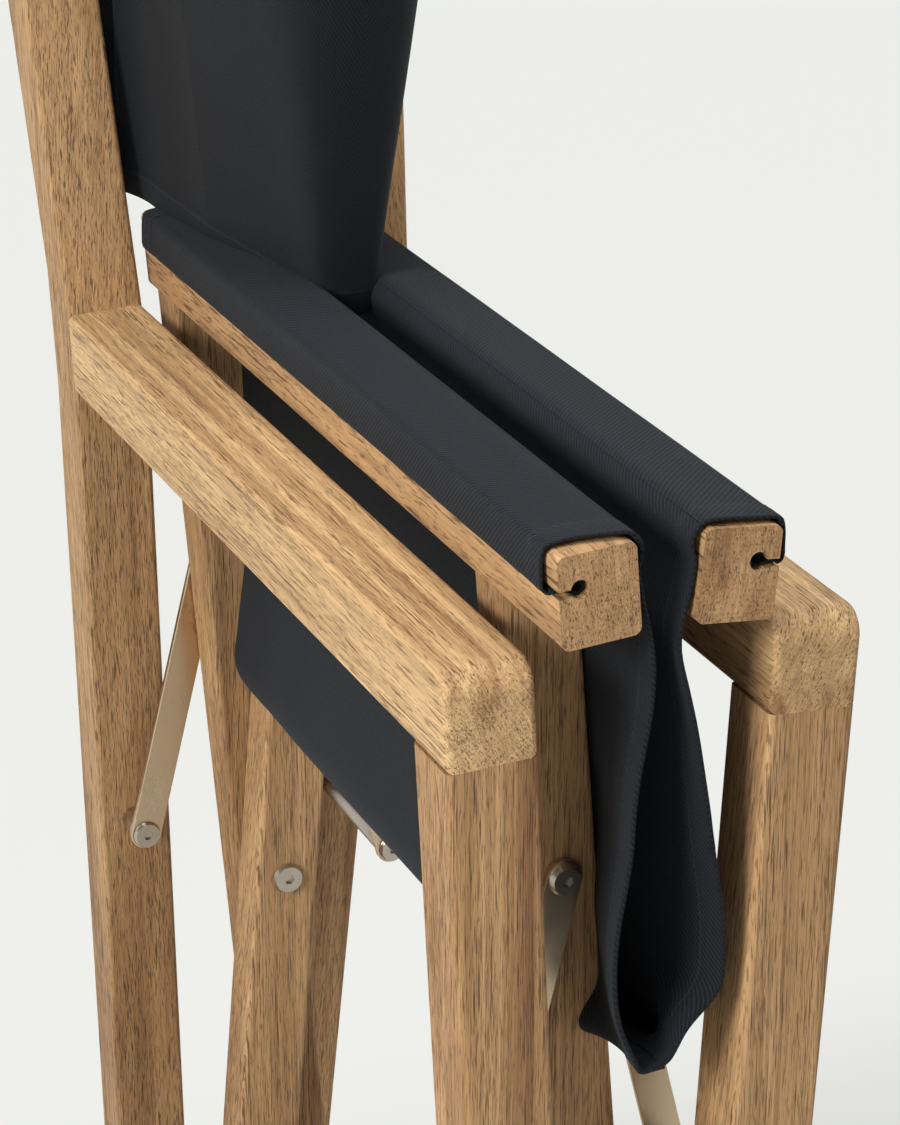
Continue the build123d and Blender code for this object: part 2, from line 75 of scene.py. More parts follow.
# ---- dimensions shared with the model, millimetres ------------------------
TAU, OPEN_TURN = 3.05, 44.5
ARM_TOP, LEG_W, FL_D, ARM_H, ARM_L, POST_D = 675.0, 35.0, 33.0, 37.0, 438.5, 30.0
RAKE, ARM_X, PIVOT_DROP, BAR_V, GLIDE_V = 11.0, 64.7, 273.9, 34.0, 14.0
RAIL_W, RAIL_H, RAIL_V, RAIL_X = 30.4, 35.4, 299.5, 2.0
Y0 = -266.585
HEM0, HEM1 = 1.0, 441.0
BACK_V0, BACK_V1 = 728.0, 893.0
SEAT_BAND, SEAT_STRIP, BAND_ANG = 42.0, 8.0, 7.0
BACK_STRIP = 34.0
foot_x = ARM_X - (ARM_TOP - GLIDE_V) * sind(TAU)
arm_z = GLIDE_V + (ARM_TOP - GLIDE_V) * cosd(TAU)
PIV_Z = arm_z - PIVOT_DROP
bar_x = foot_x + (BAR_V - GLIDE_V) * sind(TAU)
bar_z = GLIDE_V + (BAR_V - GLIDE_V) * cosd(TAU)
ALPHA = math.degrees(math.atan2(bar_x, PIV_Z - bar_z))
BAR_U = math.hypot(bar_x, PIV_Z - bar_z)


def loc(o, a, x, v):
    return np.array([o[0] + x * cosd(a) + v * sind(a), 0.0, o[1] - x * sind(a) + v * cosd(a)])


def leg_back(v):
    return ARM_L + POST_D + max(0.0, v - ARM_TOP - 14.0) * tand(RAKE)


# ---- where every body is when the chair is open ---------------------------
ratio = {c["joint"]: c["ratio"] for c in record["behaviour"]["couplings"]}
fold_max = math.radians(next(j for j in joints if j["name"] == "fold")["range_deg"][1])
by_child = {j["child"]: j for j in joints}


def turn(axis, angle):
    n = np.array(axis, float)
    n /= np.linalg.norm(n)
    k = np.array([[0, -n[2], n[1]], [n[2], 0, -n[0]], [-n[1], n[0], 0]])
    return np.eye(3) + math.sin(angle) * k + (1 - math.cos(angle)) * (k @ k)


def opened(body):
    """4x4, rest to fully open, millimetres"""
    m = np.eye(4)
    while body in by_child:
        j = by_child[body]
        q = fold_max * (1.0 if j["name"] == "fold" else ratio[j["name"]])
        r, p = turn(j["axis"], q), np.array(j["pos_m"]) * 1000
        t = np.eye(4)
        t[:3, :3] = r
        t[:3, 3] = p - r @ p
        m = t @ m
        body = j["parent"]
    return m


def apply4(m, v):
    return v @ m[:3, :3].T + m[:3, 3]


# ======== cloth =============================================================
# Every piece of cloth that crosses a hinge is laid out open and flat, then bent back into the folded chair by turning
# it part of the way round the hinge, so it hangs as a pocket folded and lies taut open.
def unbend(open_mm, a, b, start, end):
    ma, mb = opened(a), opened(b)
    v = apply4(np.linalg.inv(ma), open_mm)
    rel = np.linalg.inv(ma) @ mb
    r, t = rel[:3, :3], rel[:3, 3]
    angle = math.acos(max(-1.0, min(1.0, (np.trace(r) - 1) / 2)))
    n = np.array([r[2, 1] - r[1, 2], r[0, 2] - r[2, 0], r[1, 0] - r[0, 1]])
    n /= np.linalg.norm(n)
    along = (t @ n) * n
    pivot = np.linalg.lstsq(np.eye(3) - r, t - along, rcond=None)[0]
    s, d = np.array(start, float), np.array(end, float) - np.array(start, float)

    def at(w):
        p = v - pivot - w[:, None] * along
        c, q = np.cos(w * angle)[:, None], -np.sin(w * angle)[:, None]
        return pivot + p * c + np.cross(n, p) * q + n * (p @ n)[:, None] * (1 - c)

    def target(w):
        k = np.clip(((at(w) - s) @ d) / (d @ d), 0, 1)
        return k * k * (3 - 2 * k)

    lo, hi = np.zeros(len(v)), np.ones(len(v))
    for _ in range(40):
        mid = (lo + hi) / 2
        up = target(mid) > mid
        lo, hi = np.where(up, mid, lo), np.where(up, hi, mid)
    return at((lo + hi) / 2)


def smooth(x):
    x = np.clip(x, 0, 1)
    return x * x * (3 - 2 * x)


rng = np.random.default_rng(7)
WAVES = [(rng.uniform(0.012, 0.05), rng.uniform(0.008, 0.03), rng.uniform(0, 6.28), rng.uniform(0.4, 1.0)) for _ in range(9)]


def ripple(u, v, seed=0.0):
    total = np.zeros_like(u)
    for a, b, p, k in WAVES:
        total += k * np.sin(a * u + b * v + p + seed) * np.cos(b * u - a * 0.7 * v + 2 * p + 1.7 * seed)
    return total / len(WAVES)


def strip_mesh(name, mid, normal, thick, us, vs):
    """mid and normal are (nu, nv, 3); thick is (nu, nv); makes a skin on both sides with rounded hems along v's ends"""
    nu, nv = thick.shape
    top = mid + normal * thick[..., None] / 2
    low = mid - normal * thick[..., None] / 2
    along = np.gradient(mid, axis=1)
    along /= np.linalg.norm(along, axis=2, keepdims=True) + 1e-9
    rings, uv = [], []
    # ring order: top v0..vn, rounded hem, low vn..v0, rounded hem
    for j in range(nv):
        rings.append(top[:, j]), uv.append(np.stack([us, np.full(nu, vs[j])], 1))
    for k in (1, 2, 3):
        a = math.pi * k / 4
        e = mid[:, -1] + normal[:, -1] * (math.cos(a) * thick[:, -1] / 2)[:, None] + along[:, -1] * (math.sin(a) * thick[:, -1] / 2)[:, None]
        rings.append(e), uv.append(np.stack([us, np.full(nu, vs[-1] + 0.5 * k)], 1))
    for j in range(nv - 1, -1, -1):
        rings.append(low[:, j]), uv.append(np.stack([us, np.full(nu, vs[j])], 1))
    for k in (1, 2, 3):
        a = math.pi * k / 4
        e = mid[:, 0] - normal[:, 0] * (math.cos(a) * thick[:, 0] / 2)[:, None] - along[:, 0] * (math.sin(a) * thick[:, 0] / 2)[:, None]
        rings.append(e), uv.append(np.stack([us, np.full(nu, vs[0] - 0.5 * k)], 1))
    ring = np.stack(rings, 0)
    uvs = np.stack(uv, 0)
    nr = ring.shape[0]
    co = ring.reshape(-1, 3) * MM
    faces = []
    for i in range(nr):
        i2 = (i + 1) % nr
        for k in range(nu - 1):
            faces.append((i * nu + k, i2 * nu + k, i2 * nu + k + 1, i * nu + k + 1))
    body_faces = len(faces)
    lo = lambda j: nv + 3 + (nv - 1 - j)
    for k, flip in ((0, False), (nu - 1, True)):
        cap = [(j, j + 1, lo(j + 1), lo(j)) for j in range(nv - 1)]
        cap += [(nv - 1, nv, nv + 1, nv + 2, nv + 3), (nr - 4, nr - 3, nr - 2, nr - 1, 0)]
        for c in cap:
            c = c[::-1] if flip else c
            faces.append(tuple(i * nu + k for i in c))
    me = bpy.data.meshes.new(name)
    me.from_pydata([tuple(c) for c in co], [], faces)
    flat = uvs.reshape(-1, 2) * MM
    layer = me.uv_layers.new(name="cloth")
    data = np.empty((len(me.loops), 2))
    vi = np.empty(len(me.loops), dtype=np.int32)
    me.loops.foreach_get("vertex_index", vi)
    data[:] = flat[vi]
    layer.data.foreach_set("uv", data.ravel())
    me.polygons.foreach_set("use_smooth", [i < body_faces for i in range(len(me.polygons))])
    for e in me.edges:
        p, q = e.vertices
        if p % nu == q % nu and p % nu in (0, nu - 1):
            e.use_edge_sharp = True
    me.update()
    o = bpy.data.objects.new(name, me)
    scene.collection.objects.link(o)
    # outward faces
    import bmesh

    bm = bmesh.new()
    bm.from_mesh(me)
    bmesh.ops.recalc_face_normals(bm, faces=bm.faces)
    bm.to_mesh(me)
    bm.free()
    return o


def hem_rows(length, fine=11.5, step=6.0):
    """positions along a cloth's width, close together at both hems"""
    edge = [0.0, 0.6, 1.5, 3, 5, 7, 9, 10.2, 11.2, 12.2, 14, 17]
    inner = list(np.linspace(22, length - 22, max(2, int((length - 44) / step))))
    return np.array(edge + inner + [length - e for e in reversed(edge)])


def hem_thick(v, length, plain=0.8, double=1.9):
    d = np.minimum(v, length - v)
    line = np.exp(-(((d - 9.6) / 0.8) ** 2)) * 0.45  # stitches pull the hem in
    return double + (plain - double) * smooth((d - 10.6) / 1.6) - line


def bend_piece(name, a, b, start, end, mid_open, normal_open, thick, us, vs, soften=0):
    shape = mid_open.shape
    mid = unbend(mid_open.reshape(-1, 3), a, b, start, end).reshape(shape)
    tip = unbend((mid_open + normal_open * 0.5).reshape(-1, 3), a, b, start, end).reshape(shape)
    for _ in range(soften):  # rounds the fold; the first row stays, the last one stays on the middle line
        new = mid.copy()
        new[1:-1] = mid[1:-1] * 0.5 + (mid[:-2] + mid[2:]) * 0.25
        new[-1, :, 1:] = mid[-1, :, 1:] * 0.5 + mid[-2, :, 1:] * 0.5
        mid = new
    if soften:
        nrm = np.cross(np.gradient(mid, axis=0), np.gradient(mid, axis=1))
        nrm[-1, :, 0] = 0
        nrm /= np.linalg.norm(nrm, axis=2, keepdims=True) + 1e-12
        if np.sum(nrm[0] * (tip - mid)[0]) < 0:
            nrm = -nrm
    else:
        nrm = tip - mid
        nrm /= np.linalg.norm(nrm, axis=2, keepdims=True)
    o = strip_mesh(name, mid, nrm, thick, us, vs)
    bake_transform(o)
    return o


# ---- seat ------------------------------------------------------------------
open_a = ALPHA + OPEN_TURN
SEAT_X, SEAT_V = RAIL_W / 2 - RAIL_X + 0.6, RAIL_V + RAIL_H / 2 + 0.8
seat_half = SEAT_V * sind(open_a) - SEAT_X * cosd(open_a)
hinge_x = SEAT_V * sind(ALPHA) - SEAT_X * cosd(ALPHA)
hinge_z = PIV_Z + SEAT_V * cosd(ALPHA) + SEAT_X * sind(ALPHA)
seat_len = seat_half - SEAT_STRIP - SEAT_BAND
band_x, band_z = hinge_x - SEAT_BAND * sind(BAND_ANG), hinge_z - SEAT_BAND * cosd(BAND_ANG)
c_ang = math.degrees(math.asin((SEAT_STRIP - band_x) / seat_len))
low_z = band_z - seat_len * cosd(c_ang)
SEAT_W = HEM1 - HEM0
seat_v = hem_rows(SEAT_W)


def front_zone(y, reach=75.0):
    return 1 - smooth((y - 5) / reach)


def seat_sag(u, y, side):
    """how far the open seat hangs below the straight line, at u from the rail and y from the front hem"""
    k = smooth((u - 44) / 90) * smooth(((214 if side < 0 else 221) - u) / 34)
    flare = ((1.0 + 6.0 * smooth((u - 120) / 50)) if side < 0 else (16.0 + 6.0 * smooth((u - 120) / 50))) * np.clip(1 - y / 50, 0, 1)
    hold = smooth((u - 44) / 100) * smooth((232 - u) / 28)
    at_leg = -13.0 * np.exp(-(((y - (66 if side < 0 else 101)) / np.where((y < 66) & (side < 0), 38, 25)) ** 2))
    at_leg = at_leg - 5.0 * np.exp(-(((y - (431 if side < 0 else 403)) / 18) ** 2))
    if side < 0:  # the fold stays inside the crossed leg
        at_leg = at_leg - 5.0 * np.exp(-(((y - 46) / 26) ** 2)) * smooth((u - 165) / 35) * smooth((232 - u) / 14)
    middle = 3.0 * smooth((y - 130) / 50) * (1 - smooth((y - 330) / 50))
    if side < 0:
        pinch = -6.0 * np.exp(-(((u - 65) / 30) ** 2)) * front_zone(y)
    else:
        pinch = (2.5 * np.exp(-(((u - 76) / 24) ** 2)) - 1.2 * np.exp(-(((u - 40) / 14) ** 2))) * front_zone(y)
    hang = 9.0 * smooth((u - 130) / (seat_half - 130)) * (1 - front_zone(y))
    lift = 8.0 * smooth((u - (196 if side < 0 else 204)) / 20) * front_zone(y)
    return k * flare + hold * (at_leg + middle) + pinch + hang - lift


def hem_forward(side, u):
    """how far the front hem lies ahead of its straight line, along the rail and just below it"""
    if side < 0:
        return 5.0 * smooth((u + 24) / 22) * (1 - smooth((u - 20) / 60)) + 6.0 * (1 - smooth((u + 62) / 22))
    return 6.0 * (1 - smooth((u - 15) / 70))


def seat_y(side, u, v):
    return HEM0 + Y0 + v - hem_forward(side, u) * (1 - smooth(v / 60))


def seat_points(side, u, v):
    """open seat, world millimetres; u from the rail's hinge towards the middle"""
    uu, vv = np.meshgrid(u, v, indexing="ij")
    ma = opened("seat_frame_a" if side < 0 else "seat_frame_b")
    h = apply4(ma, np.array([[side * hinge_x, 0, hinge_z]]))[0]
    x = h[0] - side * uu + 7.0 * smooth((uu - (seat_half - 60)) / 45) * front_zone(vv)
    z = h[2] - seat_sag(uu, vv, side)
    z += 1.3 * ripple((seat_half - uu) * side, vv) * smooth(uu / 50)
    p = np.stack([x, seat_y(side, uu, vv), z], 2)
    return p, np.broadcast_to(np.array([0.0, 0.0, 1.0]), p.shape).copy(), hem_thick(vv, SEAT_W)


def seat_piece(side, tag, a, b, start, end, u0, u1, n, soft=0):
    u = np.linspace(u0, u1, n)
    p, nn, th = seat_points(side, u, seat_v)
    return bend_piece(f"seat_cloth_{tag}_{'left' if side < 0 else 'right'}", a, b, start, end, p, nn, th, u, seat_v, soft)


seat_objs = []
for side in (-1, 1):
    n = "left" if side < 0 else "right"
    fr = "seat_frame_a" if side < 0 else "seat_frame_b"
    down = np.array([-side * sind(BAND_ANG), 0, -cosd(BAND_ANG)])
    down2 = np.array([side * sind(c_ang), 0, -cosd(c_ang)])
    h1 = np.array([side * hinge_x, 0, hinge_z])
    h2 = np.array([side * band_x, 0, band_z])
    h3 = np.array([side * SEAT_STRIP, 0, low_z])
    seat_objs.append(seat_piece(side, "top", fr, f"seat_band_{n}", h1 + down * -1.0, h1 + down * 15, 0.0, 22.0, 15))
    seat_objs.append(seat_piece(side, "drop", f"seat_band_{n}", f"seat_panel_{n}", h2 - down * 16, h2 + down2 * 22, 22.0, 130.0, 26))
    seat_objs.append(seat_piece(side, "low", f"seat_panel_{n}", f"seat_strip_{n}", h3 - down2 * (9 if side < 0 else 24) + [side * 1.0, 0, 0], h3 + ([5.0, 0, 2.0] if side < 0 else [-1.5, 0, 2.0]), 130.0, seat_half, 58, 14))

# ---- cloth round the rails --------------------------------------------------


def round_path(points, radii, step=1.2):
    """a polyline in the plane with rounded corners, sampled about every step millimetres"""
    pts = [np.array(p, float) for p in points]
    out = [pts[0]]
    for i in range(1, len(pts) - 1):
        p, q, r = pts[i - 1], pts[i], pts[i + 1]
        d1, d2 = (p - q) / np.linalg.norm(p - q), (r - q) / np.linalg.norm(r - q)
        cut = min(radii[i - 1], 0.48 * np.linalg.norm(p - q), 0.48 * np.linalg.norm(r - q))
        a, b = q + d1 * cut, q + d2 * cut
        for t in np.linspace(0, 1, 7):
            out.append((1 - t) ** 2 * a + 2 * t * (1 - t) * q + t * t * b)
    out.append(pts[-1])
    line = np.array(out)
    seg = np.r_[0, np.cumsum(np.linalg.norm(np.diff(line, axis=0), axis=1))]
    keep = np.r_[True, np.diff(seg) > 1e-6]
    line, seg = line[keep], seg[keep]
    s = np.linspace(0, seg[-1], max(8, int(seg[-1] / step)))
    return np.stack([np.interp(s, seg, line[:, k]) for k in (0, 1)], 1), s


wrap_len = {}
for side in (-1, 1):
    n = "left" if side < 0 else "right"
    fr = "seat_frame_a" if side < 0 else "seat_frame_b"
    hw, hh = RAIL_W / 2, RAIL_H / 2
    kx, kv = hw - 8.2, hh - 13.2  # keyhole centre from the rail's middle, outwards and up
    r = 2.65
    rod = [(kx + r * math.cos(math.radians(t)), kv + r * math.sin(math.radians(t))) for t in (30, 75, 120, 165, 210, 255, 290)]
    pts = rod + [
        (kx + 4.6, kv - 1.15),
        (hw - 0.6, kv - 1.15),
        (hw + 1.0, kv - 2.6),
        (hw + 3.0, kv - 0.6),
        (hw + 2.2, kv + 5.5),
        (hw + 1.5, hh - 3.0),
        (hw + 0.4, hh + 1.5),
        (hw - 7, hh + 1.9),
        (-hw + 8, hh + 2.2),
        (-hw + 1.5, hh + 1.9),
        (-hw - 0.6 , hh + 0.8),
    ]
    radii = [1.2] * 6 + [1.5, 2.0, 1.6, 2.2, 2.5, 3.0, 4.0, 3.0, 5, 5, 4]
    line, s = round_path(pts, radii)
    ends = np.array([line[-1] - line[-2]])
    rx = RAIL_X
    tangent = np.gradient(line, axis=0)
    tangent /= np.linalg.norm(tangent, axis=1, keepdims=True)
    nrm2 = np.stack([tangent[:, 1], -tangent[:, 0]], 1)  # outwards from the wood
    if side * 0 == 0:
        vv = seat_v
        mid = np.zeros((len(line), len(vv), 3))
        nor = np.zeros_like(mid)
        a = side * ALPHA
        s_back = s - s[-1]
        for i, (q, m2) in enumerate(zip(line, nrm2)):
            fade = smooth((-s_back[i]) / 6) * smooth((s[i] - 26) / 8)
            puff = (0.5 * ripple(np.full_like(vv, 3.0 * s[i]), vv, 2.0 + side) + 0.35) * fade
            xx = side * (rx + q[0] + m2[0] * puff)
            zz = RAIL_V + q[1] + m2[1] * puff
            mid[i, :, 0] = xx * cosd(a) + zz * sind(a)
            mid[i, :, 2] = PIV_Z - xx * sind(a) + zz * cosd(a)
            mid[i, :, 1] = seat_y(side, s_back[i], vv)
            nx, nz = side * m2[0], m2[1]
            nor[i, :, 0] = nx * cosd(a) + nz * sind(a)
            nor[i, :, 2] = -nx * sind(a) + nz * cosd(a)
        th = hem_thick(np.broadcast_to(vv, mid.shape[:2]), SEAT_W, 0.8, 1.5)
        th = np.where((s < 24)[:, None], np.minimum(th, 1.0), th)
        o = strip_mesh(f"seat_cloth_rail_{n}", mid, nor, th, s_back, vv)
        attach(o, fr)
        wrap_len[n] = s[-1]
        seat_objs.append(o)

# ---- back ------------------------------------------------------------------
BACK_O = LEG_W / 2 + 1.2
BACK_MID = (BACK_V0 + BACK_V1) / 2
BACK_H = (BACK_V1 - BACK_V0) / cosd(RAKE)
back_half = BAR_U * sind(open_a) - BACK_O
back_len = back_half - BACK_STRIP
back_v = hem_rows(BACK_H, step=5.0)
back_objs = []


def back_points(side, u, v):
    uu, vv = np.meshgrid(u, v, indexing="ij")
    n = "left" if side < 0 else "right"
    p = loc((side * foot_x, GLIDE_V), side * TAU, -side * BACK_O, BACK_MID - GLIDE_V)
    p[1] = leg_back(BACK_MID) + 0.8 + Y0
    m = apply4(opened(f"frame_{n}"), p[None])[0]
    up = np.array([0, sind(RAKE), cosd(RAKE)])
    nb = np.array([0, cosd(RAKE), -sind(RAKE)])
    t = vv / BACK_H
    rise = np.sin(np.clip(uu / back_half, 0, 1) * math.pi / 2)
    bow = (2.0 + 31.0 * (1 - t)) * smooth(uu / (back_half - 30)) ** 0.8
    bow = bow - 9.0 * np.exp(-(((uu - 135) / 45) ** 2)) + 4.0 * np.exp(-(((uu - 40) / 20) ** 2))
    bow = bow + 1.6 * ripple(uu * 0.8, vv * 1.3, 4.0) * smooth(uu / 45) * smooth((back_half - uu) / 60)
    q = m + np.array([-side, 0, 0]) * uu[..., None] + up * (vv - BACK_H / 2)[..., None] + nb * bow[..., None]
    # the free edges hang a little between the posts
    q = q - up * (6.0 * (1 - t) + (9.0 * (1 - t) + 3.0) * rise ** 2)[..., None]
    return q, np.broadcast_to(nb, q.shape).copy(), hem_thick(vv, BACK_H)


for side in (-1, 1):
    n = "left" if side < 0 else "right"
    j1, j2 = by_child[f"back_panel_{n}"], by_child[f"back_strip_{n}"]
    m, e = np.array(j1["pos_m"]) * 1000, np.array(j2["pos_m"]) * 1000
    f = (e - m) / np.linalg.norm(e - m)
    for tag, a, b, start, end, u0, u1, k, soft in (
        ("post", f"frame_{n}", f"back_panel_{n}", m - f * 2.0, m + f * 27, 0.0, 110.0, 56, 0),
        ("front", f"back_panel_{n}", f"back_strip_{n}", e + np.array([side * 13.0, 13.0, 0]), e + np.array([-side * 0.8, -0.8, 0]), 110.0, back_half, 60, 260),
    ):
        u = np.linspace(u0, u1, k)
        p, nn, th = back_points(side, u, back_v)
        back_objs.append(bend_piece(f"back_cloth_{tag}_{n}", a, b, start, end, p, nn, th, u, back_v, soft))
    # round the rod and out to the post's inner rear corner; x across the post, w back from the hinge line
    a = side * TAU
    kx, kw = 7.5, -9.5
    r = 2.6
    rod = [(kx + r * math.sin(math.radians(t)), kw + r * math.cos(math.radians(t))) for t in (60, 110, 160, 210, 260, 305, 345)]
    pts = rod + [(kx, kw + 5.0), (kx, 0.2), (kx + 1.4, 1.2), (LEG_W / 2 - 2.0, 1.2), (BACK_O, 0.8)]
    line, s = round_path(pts, [1.2] * 6 + [1.2, 1.6, 1.6, 1.2, 2.5])
    tangent = np.gradient(line, axis=0)
    tangent /= np.linalg.norm(tangent, axis=1, keepdims=True)
    nrm2 = np.stack([-tangent[:, 1], tangent[:, 0]], 1)
    right = np.array([cosd(a), 0, -sind(a)])
    up = np.array([sind(a) * cosd(RAKE), sind(RAKE), cosd(a) * cosd(RAKE)])
    back = np.cross(up, right)
    back /= np.linalg.norm(back)
    if back[1] < 0:
        back = -back
    # the rear face's middle line at the cloth's middle height
    centre = loc((side * foot_x, GLIDE_V), a, 0, BACK_MID - GLIDE_V)
    centre[1] = leg_back(BACK_MID) + Y0
    vv = back_v - BACK_H / 2 - 6.0 * (1 - back_v / BACK_H)
    mid = np.zeros((len(line), len(vv), 3))
    nor = np.zeros_like(mid)
    for i, (q, m2) in enumerate(zip(line, nrm2)):
        base = centre + right * (-side * q[0]) + back * q[1]
        mid[i] = base + up * vv[:, None]
        nor[i] = right * (-side * m2[0]) + back * m2[1]
    th = hem_thick(np.broadcast_to(back_v, mid.shape[:2]), BACK_H, 0.8, 1.5)
    th = np.where((s < 20)[:, None], np.minimum(th, 0.9), th)
    o = strip_mesh(f"back_cloth_slot_{n}", mid, nor, th, s - s[-1], back_v)
    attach(o, f"frame_{n}")
    back_objs.append(o)

for n in ("left", "right"):
    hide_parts(f"seat_band_{n}")
    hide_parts(f"seat_panel_{n}")
    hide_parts(f"seat_strip_{n}")
    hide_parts(f"seat_wrap_{n}")
    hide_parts(f"back_panel_{n}")
    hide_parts(f"back_strip_{n}")
    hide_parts(f"back_wrap_{n}")

# ======== materials =========================================================


def tree(name):
    m = bpy.data.materials.new(name)
    m.use_nodes = True
    nt = m.node_tree
    nt.nodes.clear()
    out = nt.nodes.new("ShaderNodeOutputMaterial")
    bsdf = nt.nodes.new("ShaderNodeBsdfPrincipled")
    nt.links.new(bsdf.outputs[0], out.inputs[0])
    return m, nt, bsdf


class N:
    """short hand for building node trees"""

    def __init__(self, nt):
        self.nt = nt

    def new(self, kind, **props):
        n = self.nt.nodes.new(kind)
        for k, v in props.items():
            setattr(n, k, v)
        return n

    def put(self, socket, value):
        if hasattr(value, "is_output"):
            self.nt.links.new(value, socket)
        else:
            socket.default_value = value

    def math(self, op, a, b=None, c=None, clamp=False):
        n = self.new("ShaderNodeMath", operation=op, use_clamp=clamp)
        for s, v in zip(n.inputs, (a, b, c)):
            if v is not None:
                self.put(s, v)
        return n.outputs[0]

    def noise(self, vec, scale, detail=3.0, rough=0.55, dist=0.0):
        n = self.new("ShaderNodeTexNoise")
        self.put(n.inputs["Vector"], vec)
        for k, v in (("Scale", scale), ("Detail", detail), ("Roughness", rough), ("Distortion", dist)):
            self.put(n.inputs[k], v)
        return n.outputs["Fac"]

    def mapping(self, vec, scale=(1, 1, 1), rot=(0, 0, 0), shift=(0, 0, 0)):
        n = self.new("ShaderNodeMapping")
        self.put(n.inputs["Vector"], vec)
        n.inputs["Scale"].default_value = scale
        n.inputs["Rotation"].default_value = rot
        n.inputs["Location"].default_value = shift
        return n.outputs[0]

    def ramp(self, fac, stops, interp="LINEAR"):
        n = self.new("ShaderNodeValToRGB")
        self.put(n.inputs[0], fac)
        r = n.color_ramp
        r.interpolation = interp
        while len(r.elements) < len(stops):
            r.elements.new(0.5)
        for e, (p, c) in zip(r.elements, stops):
            e.position = p
            e.color = (*c, 1.0) if hasattr(c, "__len__") else (c, c, c, 1.0)
        return n.outputs[0]

    def mix(self, fac, a, b, mode="MIX"):
        n = self.new("ShaderNodeMix", data_type="RGBA", blend_type=mode)
        self.put(n.inputs[0], fac)
        for s, v in ((n.inputs[6], a), (n.inputs[7], b)):
            if hasattr(v, "is_output"):
                self.put(s, v)
            else:
                s.default_value = (*v, 1.0)
        return n.outputs[2]

    def range(self, v, a, b, c, d):
        n = self.new("ShaderNodeMapRange")
        for s, x in zip(n.inputs, (v, a, b, c, d)):
            self.put(s, x)
        return n.outputs[0]


def lin(r, g, b):
    f = lambda c: (c / 255 / 12.92) if c / 255 <= 0.04045 else ((c / 255 + 0.055) / 1.055) ** 2.4
    return f(r), f(g), f(b)


